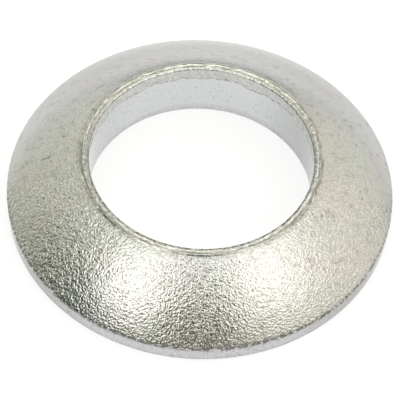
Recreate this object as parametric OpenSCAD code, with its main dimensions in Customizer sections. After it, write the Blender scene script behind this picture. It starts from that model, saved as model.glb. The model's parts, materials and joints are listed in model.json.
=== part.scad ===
/*
Spherical washer: a flat-based steel ring with a domed seat on top and a clearance bore for a bolt.
The underside lies on the plane z = 0 and the bore runs along +Z. All sizes are in millimetres.
The whole washer is one turn of one section, which is drawn with its radius on x and its height on y.
*/

/* [Washer] */
// Outer diameter of the washer and its rim
outer_d = 36; // [30:0.5:50]
// Diameter of the bore, a clearance hole for the bolt
bore_d = 21; // [6:0.5:30]
// Radius of the spherical seat, which turns in a conical or spherical cup
sphere_r = 27; // [20:0.5:80]
// Height at which the rim would meet the spherical seat in a sharp corner
rim_h = 1.75; // [0.9:0.05:10]
// Width of the flat land on top, between the bore's rounded edge and the crown
land_w = 0.1; // [0.1:0.05:2]

/* [Rounded edges] */
// Radius of the crown, which rolls the spherical seat over into the land
crown_r = 1; // [0.2:0.1:4]
// Radius on the upper edge of the bore
bore_edge_r = 0.15; // [0.05:0.05:1]
// Radius on the upper edge of the rim
rim_edge_r = 0.25; // [0.05:0.05:0.8]
// Radius on both edges of the underside, at the rim and at the bore
base_edge_r = 0.2; // [0.05:0.05:0.5]

/* [Finish] */
// Colour of the zinc-plated steel
zinc_color = "#c9c8c0"; // color

/* [Hidden] */
$fn = 180;

outer_r = outer_d / 2;
bore_r = bore_d / 2;

// Each round stands this far proud of its tangent faces, so that it meets them in a clean edge
round_lap = 0.001;

// Directions in the section, in degrees from the outward radius
OUTWARD = 0;
UP = 90;
INWARD = 180;
DOWN = 270;

// Centre of the sphere, on the bore's axis below the washer
sphere_c = [0, rim_h - sqrt(sphere_r ^ 2 - outer_r ^ 2)];

// Centre of a round of radius r at radius x that touches the sphere from inside
function inside_sphere(x, r) = [x, sphere_c.y + sqrt((sphere_r - r) ^ 2 - x ^ 2)];

// Direction in which such a round touches the sphere
function sphere_side(c) = atan2(c.y - sphere_c.y, c.x);

// Centre of the rim's upper round, which touches the rim and the sphere
rim_c = inside_sphere(outer_r - rim_edge_r, rim_edge_r);

// Centre of the crown, which touches the sphere and the land
crown_c = inside_sphere(bore_r + bore_edge_r + land_w, crown_r);

// Height of the land, which is the washer's overall height
top_z = crown_c.y + crown_r;

function toward(angle) = [cos(angle), sin(angle)];

// What a round of radius r about c takes off a corner, between the faces that it touches in two directions
module corner_cut(c, r, from, to) {
    half_turn = (to - from) / 2;
    reach = 2 * r;
    difference() {
        translate(c)
            polygon([
                [0, 0],
                reach * toward(from),
                reach / cos(half_turn) * toward(from + half_turn),
                reach * toward(to)
            ]);
        translate(c)
            circle(r = r + round_lap);
    }
}

// The section with sharp corners: a block from the bore to the rim, domed by the sphere
module sharp_section() {
    intersection() {
        translate([bore_r, 0])
            square([outer_r - bore_r, top_z]);
        translate(sphere_c)
            circle(r = sphere_r);
    }
}

module section() {
    difference() {
        sharp_section();
        corner_cut(rim_c, rim_edge_r, OUTWARD, sphere_side(rim_c));
        corner_cut(crown_c, crown_r, sphere_side(crown_c), UP);
        corner_cut([bore_r + bore_edge_r, top_z - bore_edge_r], bore_edge_r, UP, INWARD);
        corner_cut([bore_r + base_edge_r, base_edge_r], base_edge_r, INWARD, DOWN);
        corner_cut([outer_r - base_edge_r, base_edge_r], base_edge_r, DOWN, OUTWARD + 360);
    }
}

// The washer: zinc-plated steel, formed in one piece
module washer() {
    color(zinc_color)
        rotate_extrude()
            section();
}

washer();
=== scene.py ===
"""Looks of a spherical washer: a zinc-plated steel ring with a pebbled dome and a punched bore.

Lengths are in metres, in the frame of the CAD model: the underside lies on z = 0 and the bore runs
along +Z. A section is drawn with its radius across and its height up, and is turned once round the
bore. Azimuths are in degrees, counted from +X towards +Y. The camera stands on the -Y side.
"""

import json
import math

import bpy
from mathutils import Matrix, Vector, noise


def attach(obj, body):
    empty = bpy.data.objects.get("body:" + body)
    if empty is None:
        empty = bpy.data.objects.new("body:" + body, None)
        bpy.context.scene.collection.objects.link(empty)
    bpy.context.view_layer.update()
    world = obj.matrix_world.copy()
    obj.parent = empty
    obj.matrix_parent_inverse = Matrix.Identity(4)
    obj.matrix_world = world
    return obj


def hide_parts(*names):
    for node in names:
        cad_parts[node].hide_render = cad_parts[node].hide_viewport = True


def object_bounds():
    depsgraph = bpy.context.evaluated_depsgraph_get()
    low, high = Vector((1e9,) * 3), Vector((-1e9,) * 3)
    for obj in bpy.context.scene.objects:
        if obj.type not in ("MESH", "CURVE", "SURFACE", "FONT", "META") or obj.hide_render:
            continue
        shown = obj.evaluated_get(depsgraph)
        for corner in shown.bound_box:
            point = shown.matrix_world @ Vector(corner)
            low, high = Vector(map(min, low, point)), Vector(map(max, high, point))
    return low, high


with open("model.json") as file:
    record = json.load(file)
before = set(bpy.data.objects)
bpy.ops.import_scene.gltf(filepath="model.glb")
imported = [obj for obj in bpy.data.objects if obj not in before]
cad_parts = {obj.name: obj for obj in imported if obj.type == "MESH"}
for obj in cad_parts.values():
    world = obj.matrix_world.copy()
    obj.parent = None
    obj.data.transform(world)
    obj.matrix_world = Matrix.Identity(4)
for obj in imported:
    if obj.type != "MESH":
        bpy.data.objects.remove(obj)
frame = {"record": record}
cad_low, cad_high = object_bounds()

MM = 0.001

# Azimuths of the washer's sides, as the camera sees them
RIGHT = 0
FAR = 90
LEFT = 180
NEAR = 270

# Directions in the section, in degrees from the outward radius
OUTWARD = 0
UP = 90
INWARD = 180
DOWN = 270

# Sizes that the frame gives
OUTER_R = (cad_high.x - cad_low.x) / 2
HEIGHT = cad_high.z
BORE = next(mount for mount in frame["record"]["mounts"] if mount["name"] == "bore")
BORE_R = BORE["dims"]["r_mm"] * MM

# Radii of the section's rounds and the width of its land, as the CAD model has them
SPHERE_R = 27 * MM
CROWN_R = 1.0 * MM
BORE_EDGE_R = 0.15 * MM
RIM_EDGE_R = 0.25 * MM
BASE_EDGE_R = 0.2 * MM
LAND_W = 0.1 * MM

# Centres of the section's rounds: the crown touches the land and the sphere, and the rim's edge
# touches the rim and the sphere
CROWN_X = BORE_R + BORE_EDGE_R + LAND_W
CROWN_C = (CROWN_X, HEIGHT - CROWN_R)
SPHERE_C = (0, CROWN_C[1] - math.sqrt((SPHERE_R - CROWN_R) ** 2 - CROWN_X**2))
RIM_EDGE_X = OUTER_R - RIM_EDGE_R
RIM_EDGE_Z = SPHERE_C[1] + math.sqrt((SPHERE_R - RIM_EDGE_R) ** 2 - RIM_EDGE_X**2)
RIM_EDGE_C = (RIM_EDGE_X, RIM_EDGE_Z)

# The crown rolls on past its top towards the bore by this angle in degrees
CROWN_FALL = 16
# The upper part of the bore stands a little proud of the wall below it, down to a torn, wavy edge
NECK_PROUD = 0.22 * MM
NECK_H = 1.5 * MM
NECK_STEP_H = 0.25 * MM
NECK_R = BORE_R - NECK_PROUD
TEAR_Z = HEIGHT - NECK_H
TEAR_FOOT_Z = TEAR_Z - NECK_STEP_H
# Height and size of the waves along the torn edge
TEAR_WAVES = ((0.35 * MM, 2.7 * MM), (0.20 * MM, 0.9 * MM), (0.20 * MM, 0.35 * MM))
# Dents in the neck, which are deepest at the torn edge
DENT_DEPTH = 0.09 * MM
DENT_SIZE = 0.7 * MM

# Rows of the mesh along each stretch of the section, and vertices in each ring
ROWS = {
    "underside": 2,
    "base_edge": 4,
    "rim": 6,
    "rim_edge": 6,
    "dome": 54,
    "shoulder": 12,
    "crown": 12,
    "lip": 7,
    "neck": 8,
    "tear": 3,
    "bore": 5,
    "bore_foot": 3,
}
SEGMENTS = 800
AZIMUTHS = [360 * segment / SEGMENTS for segment in range(SEGMENTS)]

# A patch, here and below, is written as how much of something there is in its middle, the azimuth
# of its middle, and the cosines of the angles off it where the patch ends and where it is full

# The crown is a low bead, with a crease beside it where the dome falls below the sphere.
# The bead's crest lies further out than the crown's top in the section, but less so in one patch
CREST_OUT = 0.10 * MM
CREST_BACK = (0.05 * MM, 335, 0.5, 1.0)
# The crease lies further out towards one azimuth, wanders from its circle by waves of a height and
# a size, and is partly filled in some patches
CREASE_R = 11.25 * MM
CREASE_SHIFT = 0.08 * MM
CREASE_SHIFT_AZIMUTH = 100
CREASE_WAVES = ((0.06 * MM, 0.7 * MM), (0.042 * MM, 0.3 * MM))
CREASE_DEPTH = 0.045 * MM
CREASE_FILLED = ((0.65, NEAR, 0.2, 0.6), (0.8, LEFT, 0.6, 1.0), (0.8, RIGHT, 0.6, 1.0))
# Widths of its sides, towards the bead and towards the rim
FLANK_W = 0.30 * MM
SHOULDER_W = 0.9 * MM

# Depth and size of the fine unevenness in each zone of the section
UNEVEN = {
    "dome": (0.005 * MM, 0.5 * MM),
    "crown": (0.010 * MM, 0.3 * MM),
    "lip": (0.015 * MM, 0.25 * MM),
    "neck": (0.025 * MM, 0.25 * MM),
    "tear": (0.025 * MM, 0.25 * MM),
}
# Nicks in the rim's upper edge, where the noise lies above a level
NICK_DEPTH = 0.04 * MM
NICK_SIZE = 0.4 * MM
NICK_LEVEL = -0.1

# The dome's pebbles are shallower on the far side and calmer in two patches at the front.
# They are worn in a belt along the rim, except on the near side, and the belt is wider on the far side
SHALLOW = (0.5, FAR, 0.1, 0.9)
CALM = ((0.17, 245, 0.9, 1.0), (0.1, 299, 0.9, 1.0))
WORN = (0.65, FAR, -0.55, -0.15)
WORN_R = 15.3 * MM
WORN_WIDER = (3.0 * MM, FAR, 0.0, 0.8)
WORN_FADE = 1.5 * MM
# Coarser pebbles lie among the others in three patches, and the painted shade in the pits is lighter in
# one
COARSE = ((1.0, 210, 0.85, 0.97), (0.5, 271, 0.95, 1.0), (0.9, 333, 0.9, 1.0))
LIGHTER_PIT_SHADE = (0.3, RIGHT, 0.2, 0.9)

# Stains and scratches on the dome: azimuth in degrees, then radius, half length round the washer
# and half width across it in millimetres, and strength
MARKS = (
    (180, 14.5, 0.14, 0.35, 1.0),
    (180, 14.1, 0.14, 0.35, 1.0),
    (171, 13.0, 0.16, 0.16, 1.0),
    (179, 16.2, 0.30, 0.12, 0.5),
    (155, 11.4, 0.25, 0.15, 0.8),
    (333, 12.4, 0.20, 0.20, 0.7),
    (26, 16.5, 0.15, 0.20, 0.6),
    (24, 15.2, 0.20, 0.35, 0.5),
    (30, 15.0, 0.15, 0.15, 0.6),
    (43, 16.0, 0.20, 0.20, 0.35),
    (5, 14.8, 0.12, 0.25, 0.5),
    (0, 13.6, 0.15, 0.15, 0.4),
    (351, 15.6, 0.15, 0.15, 0.5),
    (11, 17.7, 0.15, 0.15, 0.4),
)
# Share of a mark's half sizes with its full strength
MARK_CORE = 0.3

# Lines of painted shade and painted shadow: the radius or height of the middle, and the reach on each
# side
CREST_LINE = (CROWN_X, 0.5 * MM)
LIP_LINE = (NECK_R + 0.17 * MM, 0.17 * MM)
INNER_LINE = (NECK_R + 0.1 * MM, 0.2 * MM)
OUTER_LINE = (OUTER_R - 0.1 * MM, 0.2 * MM)
RIM_TOP_LINE = (RIM_EDGE_Z, 0.5 * MM)
RIM_FOOT_LINE = (BASE_EDGE_R, 0.4 * MM)
# Lines of painted shade along the crease: how far inside it the middle lies, and the reach on each side
CREASE_SHADE_LINE = (0.05 * MM, 0.2 * MM)
FLANK_SHADE_LINE = (0.25 * MM, 0.3 * MM)
DOME_CREASE_LINE = (0, 0.5 * MM)
CROWN_CREASE_LINE = (0, 0.3 * MM)

# Painted shade and painted shadow, which darken the metal evenly: shares from 0 to 1, and patches
CREASE_SHADE = 0.12
CREASE_SHADE_CORNER = (0.2, 325, 0.6, 1.0)
CREASE_SHADE_NEAR = (0.1, NEAR, 0.5, 1.0)
FLANK_SHADE = (0.15, NEAR, 0.5, 0.8)
CREST_SHADE = 0.6
CREST_SHADE_SIDES = 0.1
CREST_SHADE_LEFT = (0.2, 214, 0.8, 1.0)
# Painted shade on the far side of the dome, towards the rim
FAR_SHADE = (0.25, FAR, 0.2, 0.95)
FAR_SHADE_START_R = 12.5 * MM
FAR_SHADE_FULL_R = 16 * MM
LIP_SHADE = 0.4
LIP_SHADE_RIGHT = (0.1, RIGHT, 0.4, 1.0)
LIP_SHADE_FAR = (0.3, FAR, 0.2, 0.8)
NECK_SHADE = (0.2, RIGHT, 0.4, 1.0)
RIM_SIDE_SHADE = ((0.55, LEFT, 0.4, 0.95), (0.55, RIGHT, 0.4, 0.95))
BASE_EDGE_SHADOW = 0.15
BORE_SHADE_RIGHT = (0.4, RIGHT, 0.4, 1.0)
BORE_SHADE_LEFT = (0.15, LEFT, 0.6, 1.0)
BORE_FOOT_SHADOW = 0.05

# Ragged painted shade and shadow, and ragged dirt on the neck and the torn edge: amounts of which 1
# covers most of the metal, and patches
# Painted shade along the rim's top edge, and painted shadow along its foot
RIM_TOP_SHADE = 0.65
RIM_FOOT_SHADOW = 0.4
# Painted shade on the rim's upper edge and along the dome's outer edge, on the near side
RIM_EDGE_SHADE = (1.8, NEAR, -0.1, 0.3)
DOME_RIM_SHADE = (0.4, NEAR, -1.0, 0.3)
# Painted shade in the crease, on the dome's side and on the crown's side, and how much less on the
# right
DOME_CREASE_SHADE = 0.35
DOME_CREASE_SHADE_LESS_RIGHT = 0.3
CROWN_CREASE_SHADE = 0.25
CROWN_CREASE_SHADE_LESS_RIGHT = 0.2
# Painted shade all over the crown on the near side
CROWN_NEAR_SHADE = (0.35, NEAR, 0.0, 0.7)
# Painted shade at the bore's upper edge, most of all on the near side
INNER_SIDE = (1.0, NEAR, -1.0, 0.3)
INNER_SHADE = 0.8
INNER_SHADE_NEAR = (0.8, NEAR, 0.2, 0.9)
# Dirt on the neck and along the torn edge, with painted shade on the torn edge's right side
NECK_GRIME = 0.3
TEAR_GRIME = 0.7
TEAR_SHADE_RIGHT = (0.4, RIGHT, -0.2, 0.6)
# Painted shadow along the foot of the bore and of the rim, where they meet the floor
BORE_FOOT_RAGGED_SHADOW = 0.3
BASE_EDGE_RAGGED_SHADOW = 1.5

# Finishes of the metal that aren't plain, and the zones of the section that have them
FINISHES = {
    "dome": ("dome",),
    "crown": ("crown",),
    "neck": ("lip", "neck", "tear"),
    "bore": ("bore",),
    "rim": ("rim",),
}

# Colours of the zinc, with two on the dome and a plain one on the rim and wherever there is no
# other, and of the dirt, which also serves for all painted shade and painted shadow
WARM_ZINC = (0.562, 0.550, 0.535)
GREEN_ZINC = (0.547, 0.555, 0.533)
PLAIN_ZINC = (0.60, 0.595, 0.605)
BORE_ZINC = (0.64, 0.66, 0.66)
CROWN_ZINC = (0.55, 0.545, 0.51)
NECK_ZINC = (0.62, 0.63, 0.60)
DIRT_AND_SHADE = (0.17, 0.165, 0.15)
# The dome's greenish patches: size, and the noise where they start and where they are full
GREEN_SIZE = 4 * MM
GREEN_NOISE = (0.42, 0.58)

# Relief in the material: sizes and depths of a grain all over, two kinds of pebbles on the dome,
# scores round the crown and a mottle on the neck
GRAIN_SIZE = 0.12 * MM
GRAIN_DEPTH = 0.008 * MM
PEBBLE_SIZE = 0.19 * MM
PEBBLE_DEPTH = 0.055 * MM
COARSE_SIZE = 0.3 * MM
COARSE_DEPTH = 0.08 * MM
PEBBLE_DETAIL = 1.0
SCORE_LENGTH = 0.9 * MM
SCORE_WIDTH = 0.13 * MM
SCORE_DEPTH = 0.025 * MM
SCORE_DETAIL = 1.5
MOTTLE_SIZE = 0.25 * MM
MOTTLE_DEPTH = 0.08 * MM

# Roughness of the metal: size of its clouds, the noise at its ends and the roughness there
SHEEN_SIZE = 0.5 * MM
SHEEN_RANGE = (0.3, 0.7, 0.05, 0.11)

# Dirt and painted shade by noise: its attribute, the noise where it starts and where it is full, and
# its share there
# Painted shade in the pits between pebbles and in the gaps between scores; the rest are dirt
PIT_SHADE = ("pit_shading", 0.5, 0.3, 0.38)
SCORE_GAP_SHADE = ("crown", 0.52, 0.44, 0.55)
DOTS = ("dome", 0.68, 0.75, 0.3)
BORE_SPECKS = ("bore", 0.56, 0.74, 0.25)
RIM_SPECKS = ("rim", 0.53, 0.66, 0.45)
CLOUDY_STAINS = ("dome", 0.5, 0.72, 0.30)
DOT_SIZE = 0.4 * MM
BORE_SPECK_SIZE = 0.35 * MM
RIM_SPECK_SIZE = 0.2 * MM
CLOUD_SIZE = 0.8 * MM
CLOUD_DETAIL = 4.0
CLOUD_ROUGHNESS = 0.6
# Raggedness of the ragged dirt and painted shade: size, the noise at its ends and their share there
RAGGED_SIZE = 0.3 * MM
RAGGED_RANGE = (0.38, 0.6, 0.1, 0.9)

# Camera: distance, and the focal length and the place of the origin in pixels of a 400 x 400 image
CAMERA_DISTANCE = 9.40 * OUTER_R
CAMERA_ELEVATION = math.radians(53.57)
CAMERA_ROLL = math.radians(3.08)
CAMERA_CLIP = 0.01
IMAGE_SIDE = 400
IMAGE_ORIGIN = (199.6, 196.0)
FOCAL_PIXELS = 1797

# Studio: what the metal sees in each direction, as soft oval cards laid over an even grey, a later
# card over the earlier ones
ROOM = (0.61, 0.61, 0.485)
# Name, azimuth, elevation, half width and half height in degrees, share of those with the full
# colour, colour
CARDS = (
    ("ceiling", 68, 71, 87, 57, 0.85, (0.97, 0.99, 0.86)),
    ("right_wall", 25, 36, 50, 37, 0.9, (1.15, 1.12, 0.99)),
    ("right_dark_strip", 38, 35, 4, 20, 0.4, (0.58, 0.57, 0.50)),
    ("right_bright_strip", 24, 35, 3, 22, 0.4, (2.25, 2.19, 1.95)),
    ("right_second_dark_strip", 12, 44, 3.5, 20, 0.4, (0.55, 0.54, 0.47)),
    ("top_lamp", 0, 85, 18, 26, 0.6, (1.70, 1.72, 1.75)),
    ("left_shade", 211, 31, 30, 40, 0.9, (0.13, 0.16, 0.13)),
    ("front_shade", 270, 8, 50, 22, 0.6, (0.16, 0.12, 0.09)),
    ("camera_shade", 268, 51, 16, 27, 0.7, (0.08, 0.05, 0.03)),
    ("backdrop", 92, -6, 88, 19, 0.65, (0.84, 0.86, 0.88)),
    ("back_shade", 90, 18, 45, 9, 0.2, (0.80, 0.79, 0.71)),
    ("left_wall", 125, 20, 24, 16, 0.5, (1.03, 1.05, 0.92)),
    ("left_dark_strip", 141, 35, 4.5, 20, 0.4, (0.45, 0.48, 0.40)),
    ("left_bright_strip", 153, 35, 2.3, 22, 0.4, (2.20, 2.26, 1.97)),
    ("left_second_dark_strip", 163, 34, 4, 24, 0.4, (0.22, 0.25, 0.20)),
    ("left_second_bright_strip", 172, 38, 3, 22, 0.4, (2.10, 2.16, 1.88)),
    ("left_low_card", 143, 4, 11, 7, 0.3, (0.98, 1.00, 0.93)),
    ("right_low_card", 37, 4, 11, 7, 0.3, (0.94, 0.94, 0.90)),
    ("back_lamp", 95, 47, 15, 10, 0.4, (2.7, 2.7, 2.6)),
    ("left_lamp", 224, 55.5, 31, 27.5, 0.18, (2.62, 2.59, 2.46)),
    ("right_lamp", 331, 56, 31, 25, 0.4, (2.18, 2.12, 2.01)),
)
# So deep that only a direction's place across a card counts
CARD_DEPTH = 1000
WHITE = (1.0, 1.0, 1.0)
FLOOR_HALF = 1.5
FLOOR_WHITE = (0.8, 0.8, 0.8)
# The camera and the metal see the floor glow white, with this much of its shading added
FLOOR_GLOW = 0.83
FLOOR_SHADED = (0.2, 0.2, 0.2)


def smooth_step(value, low, high):
    """0 below low and 1 above high, with a smooth turn between them."""
    share = min(max((value - low) / (high - low), 0.0), 1.0)
    return share * share * (3 - 2 * share)


def outward(azimuth):
    """Level unit vector towards an azimuth."""
    angle = math.radians(azimuth)
    return Vector((math.cos(angle), math.sin(angle), 0))


def cosine(azimuth, middle):
    """1 at the middle azimuth, 0 a quarter turn off it and -1 opposite."""
    return math.cos(math.radians(azimuth - middle))


def patch(azimuth, strength, middle, border, core):
    """How much of a patch lies at an azimuth."""
    return strength * smooth_step(cosine(azimuth, middle), border, core)


def most(azimuth, patches):
    """How much of the strongest of some patches lies at an azimuth."""
    return max(patch(azimuth, *each) for each in patches)


def line_share(value, middle, reach):
    """1 in the middle of a line and 0 further from it than its reach."""
    return 1 - smooth_step(abs(value - middle), 0.0, reach)


# Section of the washer


def section_direction(angle):
    """Unit vector in the section at an angle in degrees from the outward radius."""
    return Vector((math.cos(math.radians(angle)), math.sin(math.radians(angle))))


def arc(zone, centre, radius, start, end, rows):
    """Rows of the section along an arc between two angles, without its last point."""
    found = []
    for row in range(rows):
        normal = section_direction(start + (end - start) * row / rows)
        found.append((zone, Vector(centre) + radius * normal, normal))
    return found


def line(zone, start, end):
    """Rows of the section along a straight line, without its last point. Steel lies on its left."""
    start, end = Vector(start), Vector(end)
    along = (end - start).normalized()
    normal = Vector((along.y, -along.x))
    rows = ROWS[zone]
    return [(zone, start.lerp(end, row / rows), normal) for row in range(rows)]


def sphere_side(centre):
    """Angle in degrees at which a round with this centre touches the sphere."""
    return math.degrees(math.atan2(centre[1] - SPHERE_C[1], centre[0]))


def outer_rows():
    """Rows from the underside round by the rim and the dome to the end of the crown."""
    rim_side, crown_side = sphere_side(RIM_EDGE_C), sphere_side(CROWN_C)
    shoulder_side = crown_side - math.degrees(SHOULDER_W / SPHERE_R)
    base_c = (OUTER_R - BASE_EDGE_R, BASE_EDGE_R)
    return [
        *line("underside", (BORE_R + BASE_EDGE_R, 0), (base_c[0], 0)),
        *arc("base_edge", base_c, BASE_EDGE_R, DOWN, OUTWARD + 360, ROWS["base_edge"]),
        *line("rim", (OUTER_R, BASE_EDGE_R), (OUTER_R, RIM_EDGE_Z)),
        *arc("rim_edge", RIM_EDGE_C, RIM_EDGE_R, OUTWARD, rim_side, ROWS["rim_edge"]),
        *arc("dome", SPHERE_C, SPHERE_R, rim_side, shoulder_side, ROWS["dome"]),
        *arc("dome", SPHERE_C, SPHERE_R, shoulder_side, crown_side, ROWS["shoulder"]),
        *arc("crown", CROWN_C, CROWN_R, crown_side, UP + CROWN_FALL, ROWS["crown"]),
    ]


def inner_rows():
    """Rows from the end of the crown down the bore to the underside."""
    lip_side = section_direction(UP + CROWN_FALL)
    lip_start = Vector(CROWN_C) + CROWN_R * lip_side
    lip_r = (lip_start.x - NECK_R) / (1 + lip_side.x)
    lip_c = lip_start - lip_r * lip_side
    foot_c = (BORE_R + BASE_EDGE_R, BASE_EDGE_R)
    return [
        *arc("lip", lip_c, lip_r, UP + CROWN_FALL, INWARD, ROWS["lip"]),
        *line("neck", (NECK_R, lip_c.y), (NECK_R, TEAR_Z)),
        *line("tear", (NECK_R, TEAR_Z), (BORE_R, TEAR_FOOT_Z)),
        *line("bore", (BORE_R, TEAR_FOOT_Z), (BORE_R, BASE_EDGE_R)),
        *arc("bore_foot", foot_c, BASE_EDGE_R, INWARD, DOWN, ROWS["bore_foot"]),
    ]


# Relief of the surface


def waves(place, size):
    """Smooth noise from -1 to 1 whose cells have this size."""
    return noise.noise(place / size)


def sum_of_waves(place, heights_and_sizes):
    return sum(height * waves(place, size) for height, size in heights_and_sizes)


def crest_shift(zone, radius, azimuth):
    """How far out the bead's crest lies from its place in the section."""
    if zone not in ("crown", "lip"):
        return 0.0
    rise = smooth_step(radius, NECK_R, CROWN_X)
    fall = 1 - smooth_step(radius, CROWN_X, CREASE_R)
    return (CREST_OUT - patch(azimuth, *CREST_BACK)) * rise * fall


def crease_radius(azimuth):
    """Radius of the crease between the crown and the dome at an azimuth, without its waves."""
    return CREASE_R + CREASE_SHIFT * cosine(azimuth, CREASE_SHIFT_AZIMUTH)


def crease_depth(radius, place, azimuth):
    """Depth of the crease below the section."""
    crease = crease_radius(azimuth) + sum_of_waves(place, CREASE_WAVES)
    width = SHOULDER_W if radius > crease else FLANK_W
    share = max(1 - abs(radius - crease) / width, 0.0)
    return CREASE_DEPTH * (1 - most(azimuth, CREASE_FILLED)) * share**2


def dent_depth(zone, height, azimuth):
    """Depth of the dents in the neck below the section."""
    turn = outward(azimuth) * BORE_R
    return DENT_DEPTH * tear_share(zone, height) * (1 + waves(turn, DENT_SIZE))


def depth(zone, point, place, azimuth):
    """How far the worn and uneven surface lies below the section at a place."""
    if zone == "rim_edge":
        return NICK_DEPTH * max(0.0, waves(place, NICK_SIZE) - NICK_LEVEL)
    if zone not in UNEVEN:
        return 0.0
    uneven_depth, size = UNEVEN[zone]
    below = uneven_depth * (1 + waves(place, size))
    if zone in ("dome", "crown"):
        below += crease_depth(point.x, place, azimuth)
    if zone in ("neck", "tear"):
        below += dent_depth(zone, point.y, azimuth)
    return below


def tear_wave(azimuth):
    """How far the torn edge of the bore's neck lies above its mean height at an azimuth."""
    return sum_of_waves(outward(azimuth) * BORE_R, TEAR_WAVES)


def tear_share(zone, height):
    """How much of the tear's wave a row follows: all at the tear, none at the bore's two edges."""
    if zone == "neck":
        return smooth_step(HEIGHT - height, NECK_PROUD, NECK_H)
    if zone in ("tear", "bore"):
        return smooth_step(height, BASE_EDGE_R, TEAR_FOOT_Z)
    return 0.0


def ring_point(zone, point, normal, azimuth):
    """Place of a section's point at an azimuth, with the surface's relief and the tear's wave."""
    out = outward(azimuth)
    place = out * point.x + Vector((0, 0, point.y))
    above = out * normal.x + Vector((0, 0, normal.y))
    place -= above * depth(zone, point, place, azimuth)
    place += out * crest_shift(zone, point.x, azimuth)
    place.z += tear_share(zone, point.y) * tear_wave(azimuth)
    return place


def turned_mesh(name, rows):
    """A closed mesh of the section's rows turned round the bore."""
    vertices = [ring_point(*row, azimuth) for row in rows for azimuth in AZIMUTHS]
    faces = []
    for row in range(len(rows)):
        here, above = row * SEGMENTS, (row + 1) % len(rows) * SEGMENTS
        for segment in range(SEGMENTS):
            after = (segment + 1) % SEGMENTS
            faces.append((here + segment, here + after, above + after, above + segment))
    mesh = bpy.data.meshes.new(name)
    mesh.from_pydata(vertices, [], faces)
    mesh.shade_smooth()
    return mesh


# Pebbles, marks, dirt, painted shade and painted shadow, each by the section's point and the azimuth


def rightness(azimuth):
    """1 on the right, falling to 0 towards the near and far sides and on the left."""
    return max(cosine(azimuth, RIGHT), 0.0) ** 3


def sideness(azimuth):
    """1 on the left and right, 0 on the near and far sides."""
    return 1 - abs(cosine(azimuth, NEAR))


def crease_share(radius, azimuth, inside, reach):
    """How much of a line along the crease lies at a place."""
    return line_share(radius, crease_radius(azimuth) - inside, reach)


def blasted(point, azimuth):
    """How deep the pebbles of the blasted dome are."""
    worn_from = WORN_R - patch(azimuth, *WORN_WIDER)
    worn = patch(azimuth, *WORN) * smooth_step(point.x, worn_from, worn_from + WORN_FADE)
    return (1 - patch(azimuth, *SHALLOW)) * (1 - worn) * (1 - most(azimuth, CALM))


def coarse(point, azimuth):
    """How deep the dome's coarser pebbles are, at any radius."""
    return most(azimuth, COARSE)


def pit_shading(point, azimuth):
    """How dark the painted shade in the pits between the dome's pebbles is."""
    return blasted(point, azimuth) * (1 - patch(azimuth, *LIGHTER_PIT_SHADE))


def marks(point, azimuth):
    """How much of a stained spot or scratch lies on the dome."""
    strongest = 0.0
    for mark_azimuth, mark_radius, half_round, half_across, strength in MARKS:
        turn = (azimuth - mark_azimuth + 180) % 360 - 180
        round_it = math.radians(turn) * point.x / (half_round * MM)
        across_it = (point.x - mark_radius * MM) / (half_across * MM)
        share = 1 - smooth_step(math.hypot(round_it, across_it), MARK_CORE, 1.0)
        strongest = max(strongest, strength * share)
    return strongest


# Painted shade in the crease: least on the right, more on the near side and in one corner
def crease_shading(point, azimuth):
    corner, near = patch(azimuth, *CREASE_SHADE_CORNER), patch(azimuth, *CREASE_SHADE_NEAR)
    strength = (1 - rightness(azimuth)) * (CREASE_SHADE + corner + near)
    return strength * crease_share(point.x, azimuth, *CREASE_SHADE_LINE)


def dome_marks_and_shading(point, azimuth):
    """Marks, painted shade in the crease and on its flank, and painted shade on the far side towards
    the rim.
    """
    flank = patch(azimuth, *FLANK_SHADE) * crease_share(point.x, azimuth, *FLANK_SHADE_LINE)
    far_shading = patch(azimuth, *FAR_SHADE) * smooth_step(point.x, FAR_SHADE_START_R, FAR_SHADE_FULL_R)
    return max(marks(point, azimuth), crease_shading(point, azimuth), flank) + far_shading


def crown_marks_and_shading(point, azimuth):
    """What reaches over from the dome, and painted shade on the crest on the left and right sides."""
    sides = CREST_SHADE + CREST_SHADE_SIDES * abs(cosine(azimuth, RIGHT))
    strength = sides * sideness(azimuth) + patch(azimuth, *CREST_SHADE_LEFT)
    return max(dome_marks_and_shading(point, azimuth), strength * line_share(point.x, *CREST_LINE))


def lip_shading(point, azimuth):
    """Painted shade on the left and right sides, and a line of it on the far side."""
    sides = (LIP_SHADE + patch(azimuth, *LIP_SHADE_RIGHT)) * sideness(azimuth)
    return max(sides, patch(azimuth, *LIP_SHADE_FAR) * line_share(point.x, *LIP_LINE))


# Painted shade on the right side of the neck and the torn edge
def neck_shading(point, azimuth):
    return patch(azimuth, *NECK_SHADE)


# Painted shade on the bore's right and left sides
def bore_shading(point, azimuth):
    return patch(azimuth, *BORE_SHADE_RIGHT) + patch(azimuth, *BORE_SHADE_LEFT)


# Painted shadow at the bore's foot, on top of the bore's painted shade
def bore_foot_shadowing(point, azimuth):
    return bore_shading(point, azimuth) + BORE_FOOT_SHADOW


# Painted shade on the rim's left and right sides
def rim_side_shading(point, azimuth):
    return most(azimuth, RIM_SIDE_SHADE)


# Painted shadow at the rim's foot, on top of the rim's painted shade
def base_edge_shadowing(point, azimuth):
    return rim_side_shading(point, azimuth) + BASE_EDGE_SHADOW


def rim_ragged_shading(point, azimuth):
    """Ragged painted shade along the rim's top edge and painted shadow along its foot, the same all
    round.
    """
    top = RIM_TOP_SHADE * line_share(point.y, *RIM_TOP_LINE)
    return top + RIM_FOOT_SHADOW * line_share(point.y, *RIM_FOOT_LINE)


# Ragged painted shade on the rim's upper edge, most on the near side
def rim_edge_ragged_shading(point, azimuth):
    return patch(azimuth, *RIM_EDGE_SHADE)


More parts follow.
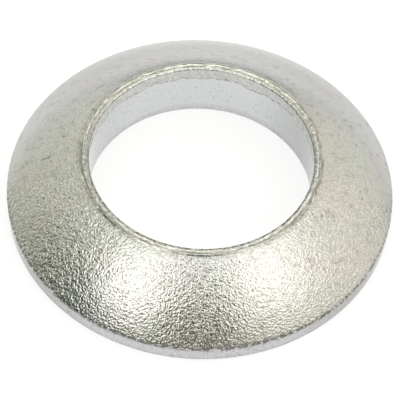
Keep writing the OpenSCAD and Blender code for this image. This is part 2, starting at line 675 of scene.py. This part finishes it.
def dome_ragged_shading(point, azimuth):
    """Ragged painted shade along the rim's edge on the near side and in the crease."""
    rim_line = patch(azimuth, *DOME_RIM_SHADE) * line_share(point.x, *OUTER_LINE)
    strength = DOME_CREASE_SHADE - DOME_CREASE_SHADE_LESS_RIGHT * rightness(azimuth)
    return max(rim_line, strength * crease_share(point.x, azimuth, *DOME_CREASE_LINE))


def crown_ragged_shading(point, azimuth):
    """Ragged painted shade in the crease and at the bore's upper edge, and some all over on the near
    side.
    """
    strength = CROWN_CREASE_SHADE - CROWN_CREASE_SHADE_LESS_RIGHT * rightness(azimuth)
    crease_line = strength * crease_share(point.x, azimuth, *CROWN_CREASE_LINE)
    inner = patch(azimuth, *INNER_SIDE) * (INNER_SHADE + patch(azimuth, *INNER_SHADE_NEAR))
    inner_line = inner * line_share(point.x, *INNER_LINE)
    return crease_line + inner_line + patch(azimuth, *CROWN_NEAR_SHADE)


# Dirt along the torn edge, with painted shade on its right side
def tear_grime_and_shading(point, azimuth):
    return TEAR_GRIME + patch(azimuth, *TEAR_SHADE_RIGHT)


# What the material reads at each place: for each zone of the section a number or a function
ATTRIBUTES = {
    **{finish: dict.fromkeys(zones, 1.0) for finish, zones in FINISHES.items()},
    "blasted": {"dome": blasted},
    "coarse": {"dome": coarse},
    "pit_shading": {"dome": pit_shading},
    # Ragged dirt on the neck and the torn edge; ragged painted shade and shadow everywhere else
    "grime_and_shading": {
        "rim": rim_ragged_shading,
        "rim_edge": rim_edge_ragged_shading,
        "dome": dome_ragged_shading,
        "crown": crown_ragged_shading,
        "lip": crown_ragged_shading,
        "neck": NECK_GRIME,
        "tear": tear_grime_and_shading,
        "bore_foot": BORE_FOOT_RAGGED_SHADOW,
        "base_edge": BASE_EDGE_RAGGED_SHADOW,
    },
    # Stained marks on the dome; even painted shade and painted shadow everywhere else
    "marks_and_shading": {
        "rim": rim_side_shading,
        "dome": dome_marks_and_shading,
        "crown": crown_marks_and_shading,
        "lip": lip_shading,
        "neck": neck_shading,
        "tear": neck_shading,
        "bore": bore_shading,
        "bore_foot": bore_foot_shadowing,
        "base_edge": base_edge_shadowing,
    },
}


def add_attribute(mesh, name, rows):
    """A point attribute of the turned mesh, which is 0 in zones that it doesn't name."""
    values = []
    for zone, point, _ in rows:
        value = ATTRIBUTES[name].get(zone, 0.0)
        if callable(value):
            values.extend(value(point, azimuth) for azimuth in AZIMUTHS)
        else:
            values.extend([value] * SEGMENTS)
    mesh.attributes.new(name, "FLOAT", "POINT").data.foreach_set("value", values)


# Shader nodes


def feed(socket, value):
    """Links a socket to another one, or sets it to a plain value."""
    if isinstance(value, bpy.types.NodeSocket):
        socket.id_data.links.new(value, socket)
    else:
        socket.default_value = value


def add_node(tree, kind, inputs=(), **settings):
    """A new node with its settings made and its inputs fed by name or number."""
    node = tree.nodes.new(kind)
    for name, value in settings.items():
        setattr(node, name, value)
    for key, value in dict(inputs).items():
        feed(node.inputs[key], value)
    return node


def attribute(tree, name):
    return add_node(tree, "ShaderNodeAttribute", attribute_name=name).outputs["Fac"]


def object_place(tree):
    """The place on the piece, in its own coordinates."""
    return add_node(tree, "ShaderNodeTexCoord").outputs["Object"]


def ramp(tree, value, low, high, to_low=0.0, to_high=1.0):
    """A value mapped smoothly from one range to another, and held at its ends."""
    inputs = {"Value": value, 1: low, 2: high, 3: to_low, 4: to_high}
    return add_node(tree, "ShaderNodeMapRange", inputs, interpolation_type="SMOOTHSTEP").outputs[0]


def over(tree, share, below, above):
    """One colour laid over another by a share from 0 to 1."""
    inputs = {0: share, 6: below, 7: above}
    return add_node(tree, "ShaderNodeMix", inputs, data_type="RGBA").outputs[2]


def number_math(tree, operation, first, second):
    inputs = {0: first, 1: second}
    return add_node(tree, "ShaderNodeMath", inputs, operation=operation).outputs[0]


def vector_math(tree, operation, *vectors, output="Vector"):
    inputs = dict(enumerate(vectors))
    return add_node(tree, "ShaderNodeVectorMath", inputs, operation=operation).outputs[output]


def clouds(tree, size, detail=2.0, roughness=0.5):
    """Noise from 0 to 1 whose cells have this size, fixed to the piece."""
    inputs = {"Vector": object_place(tree), "Scale": 1 / size, "Detail": detail, "Roughness": roughness}
    return add_node(tree, "ShaderNodeTexNoise", inputs).outputs["Fac"]


def streaks(tree, length, width, detail):
    """Noise from 0 to 1 in short marks of this length and width, which run round the bore."""
    place = object_place(tree)
    out = vector_math(tree, "NORMALIZE", vector_math(tree, "MULTIPLY", place, (1, 1, 0)))
    out_and_up = vector_math(tree, "ADD", out, (0, 0, 1))
    across = vector_math(tree, "DOT_PRODUCT", place, out_and_up, output="Value")
    in_widths = number_math(tree, "MULTIPLY", across, 1 / width)
    lift = add_node(tree, "ShaderNodeCombineXYZ", {"Z": in_widths}).outputs[0]
    drawn_out = vector_math(tree, "MULTIPLY_ADD", out, (BORE_R / length,) * 3, lift)
    inputs = {"Vector": drawn_out, "Scale": 1.0, "Detail": detail}
    return add_node(tree, "ShaderNodeTexNoise", inputs).outputs["Fac"]


def opaque(colour):
    return (*colour, 1.0)


def bump(tree, height, distance, strength=1.0, below=None):
    """The normal of a relief, on top of the normal of another one if there is one."""
    inputs = {"Height": height, "Distance": distance, "Strength": strength}
    if below is not None:
        inputs["Normal"] = below
    return add_node(tree, "ShaderNodeBump", inputs).outputs["Normal"]


# Zinc


def zone_colour(tree):
    """Warm on the dome with greenish patches, olive on the crown, cool in the bore."""
    patches = ramp(tree, clouds(tree, GREEN_SIZE), *GREEN_NOISE)
    colour = over(tree, patches, opaque(WARM_ZINC), opaque(GREEN_ZINC))
    colour = over(tree, attribute(tree, "dome"), opaque(PLAIN_ZINC), colour)
    for finish, zinc in (("bore", BORE_ZINC), ("crown", CROWN_ZINC), ("neck", NECK_ZINC)):
        colour = over(tree, attribute(tree, finish), colour, opaque(zinc))
    return colour


# Dots, specks and cloudy stains are dirt; the pits and the gaps between scores are painted shade
def noisy_layer(tree, cells, name, start, full, share):
    """How much of one layer lies at a place, by noise and by the attribute of this name."""
    by_noise = ramp(tree, cells, start, full, 0.0, share)
    return number_math(tree, "MULTIPLY", attribute(tree, name), by_noise)


def zinc_colour(tree, pebbles, scores):
    """The zones' colours under dots, specks, stains, dirty patches, painted shade and painted shadow.
    """
    ragged = ramp(tree, clouds(tree, RAGGED_SIZE), *RAGGED_RANGE)
    layers = (
        noisy_layer(tree, pebbles, *PIT_SHADE),
        noisy_layer(tree, scores, *SCORE_GAP_SHADE),
        noisy_layer(tree, clouds(tree, DOT_SIZE), *DOTS),
        noisy_layer(tree, clouds(tree, BORE_SPECK_SIZE), *BORE_SPECKS),
        noisy_layer(tree, clouds(tree, RIM_SPECK_SIZE), *RIM_SPECKS),
        noisy_layer(tree, clouds(tree, CLOUD_SIZE, CLOUD_DETAIL, CLOUD_ROUGHNESS), *CLOUDY_STAINS),
        # Ragged dirt and painted shade, then stained marks with even painted shade and shadow
        number_math(tree, "MULTIPLY", attribute(tree, "grime_and_shading"), ragged),
        attribute(tree, "marks_and_shading"),
    )
    colour = zone_colour(tree)
    for layer in layers:
        colour = over(tree, layer, colour, opaque(DIRT_AND_SHADE))
    return colour


def zinc_normal(tree, pebbles, scores):
    """A fine grain all over, with pebbles on the dome, scores on the crown and a mottle on the neck."""
    grain = bump(tree, clouds(tree, GRAIN_SIZE), GRAIN_DEPTH)
    coarse_pebbles = clouds(tree, COARSE_SIZE, PEBBLE_DETAIL)
    swollen = bump(tree, coarse_pebbles, COARSE_DEPTH, attribute(tree, "coarse"), grain)
    pebbled = bump(tree, pebbles, PEBBLE_DEPTH, attribute(tree, "blasted"), swollen)
    scored = bump(tree, scores, SCORE_DEPTH, attribute(tree, "crown"), pebbled)
    return bump(tree, clouds(tree, MOTTLE_SIZE), MOTTLE_DEPTH, attribute(tree, "neck"), scored)


def zinc_material():
    """Bright zinc plating, dirty in places, with painted shade and painted shadow in others."""
    material = bpy.data.materials.new("zinc_plated_steel")
    material.use_nodes = True
    tree = material.node_tree
    shader = tree.nodes["Principled BSDF"]
    pebbles = clouds(tree, PEBBLE_SIZE, PEBBLE_DETAIL)
    scores = streaks(tree, SCORE_LENGTH, SCORE_WIDTH, SCORE_DETAIL)
    feed(shader.inputs["Base Color"], zinc_colour(tree, pebbles, scores))
    feed(shader.inputs["Metallic"], 1.0)
    feed(shader.inputs["Roughness"], ramp(tree, clouds(tree, SHEEN_SIZE), *SHEEN_RANGE))
    feed(shader.inputs["Normal"], zinc_normal(tree, pebbles, scores))
    return material


def add_washer():
    """The washer's one piece, which stands for the CAD node."""
    rows = outer_rows() + inner_rows()
    mesh = turned_mesh("washer_zinc", rows)
    for name in ATTRIBUTES:
        add_attribute(mesh, name, rows)
    mesh.materials.append(zinc_material())
    washer = bpy.data.objects.new("washer_zinc", mesh)
    bpy.context.scene.collection.objects.link(washer)
    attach(washer, "root")
    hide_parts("washer")


# Studio


def seen_or_mirrored(tree):
    """1 for rays from the camera or off a mirror or through glass, 0 for the rest."""
    path = add_node(tree, "ShaderNodeLightPath")
    share = path.outputs["Is Camera Ray"]
    for ray in ("Is Glossy Ray", "Is Transmission Ray"):
        share = number_math(tree, "MAXIMUM", share, path.outputs[ray])
    return share


def floor_material():
    """White to the camera and in the metal, with some of its shading so that the shadow shows."""
    material = bpy.data.materials.new("floor_white")
    material.use_nodes = True
    tree = material.node_tree
    tree.nodes.clear()
    glow = add_node(tree, "ShaderNodeEmission", {"Strength": FLOOR_GLOW}).outputs[0]
    shaded = add_node(tree, "ShaderNodeBsdfDiffuse", {"Color": opaque(FLOOR_SHADED)}).outputs[0]
    seen = add_node(tree, "ShaderNodeAddShader", {0: glow, 1: shaded}).outputs[0]
    plain = add_node(tree, "ShaderNodeBsdfDiffuse", {"Color": opaque(FLOOR_WHITE)}).outputs[0]
    either = add_node(tree, "ShaderNodeMixShader", {0: seen_or_mirrored(tree), 1: plain, 2: seen})
    add_node(tree, "ShaderNodeOutputMaterial", {"Surface": either.outputs[0]})
    return material


def add_floor():
    mesh = bpy.data.meshes.new("floor")
    corners = [(x, y, 0) for x, y in ((-1, -1), (1, -1), (1, 1), (-1, 1))]
    mesh.from_pydata([Vector(corner) * FLOOR_HALF for corner in corners], [], [(0, 1, 2, 3)])
    mesh.materials.append(floor_material())
    floor = bpy.data.objects.new("floor", mesh)
    bpy.context.scene.collection.objects.link(floor)


def card_share(tree, toward, azimuth, elevation, half_width, half_height, core):
    """1 in the core of an oval card and 0 past its border, by the direction that a ray goes.

    The card shows in the opposite direction too.
    """
    turn = Vector((0, -math.radians(elevation), math.radians(azimuth)))
    half_sizes = (math.sin(math.radians(half)) for half in (half_width, half_height))
    inputs = {"Vector": toward, "Rotation": turn, "Scale": Vector((CARD_DEPTH, *half_sizes))}
    in_card = add_node(tree, "ShaderNodeMapping", inputs, vector_type="TEXTURE").outputs[0]
    return ramp(tree, vector_math(tree, "LENGTH", in_card, output="Value"), 1.0, core)


def set_world():
    """The room with its cards for every ray but the camera's own, which sees white."""
    world = bpy.data.worlds.new("studio")
    bpy.context.scene.world = world
    world.use_nodes = True
    tree = world.node_tree
    tree.nodes.clear()
    toward = add_node(tree, "ShaderNodeTexCoord").outputs["Generated"]
    colour = opaque(ROOM)
    for _, *oval, card_colour in CARDS:
        colour = over(tree, card_share(tree, toward, *oval), colour, opaque(card_colour))
    camera_ray = add_node(tree, "ShaderNodeLightPath").outputs["Is Camera Ray"]
    seen = over(tree, camera_ray, colour, opaque(WHITE))
    light = add_node(tree, "ShaderNodeBackground", {"Color": seen})
    add_node(tree, "ShaderNodeOutputWorld", {"Surface": light.outputs[0]})


def add_camera():
    """The camera, placed so that the washer's origin falls on its place in the image."""
    data = bpy.data.cameras.new("camera")
    data.lens = data.sensor_width * FOCAL_PIXELS / IMAGE_SIDE
    data.clip_start = CAMERA_CLIP
    camera = bpy.data.objects.new("camera", data)
    bpy.context.scene.collection.objects.link(camera)
    tilt = Matrix.Rotation(math.pi / 2 - CAMERA_ELEVATION, 4, "X")
    turned = tilt @ Matrix.Rotation(CAMERA_ROLL, 4, "Z")
    scale = CAMERA_DISTANCE / FOCAL_PIXELS
    across = (IMAGE_ORIGIN[0] - IMAGE_SIDE / 2) * scale
    upward = (IMAGE_SIDE / 2 - IMAGE_ORIGIN[1]) * scale
    camera.matrix_world = turned @ Matrix.Translation((-across, -upward, CAMERA_DISTANCE))
    bpy.context.scene.camera = camera


add_camera()
add_washer()
add_floor()
set_world()
bpy.context.scene.view_settings.view_transform = "Standard"
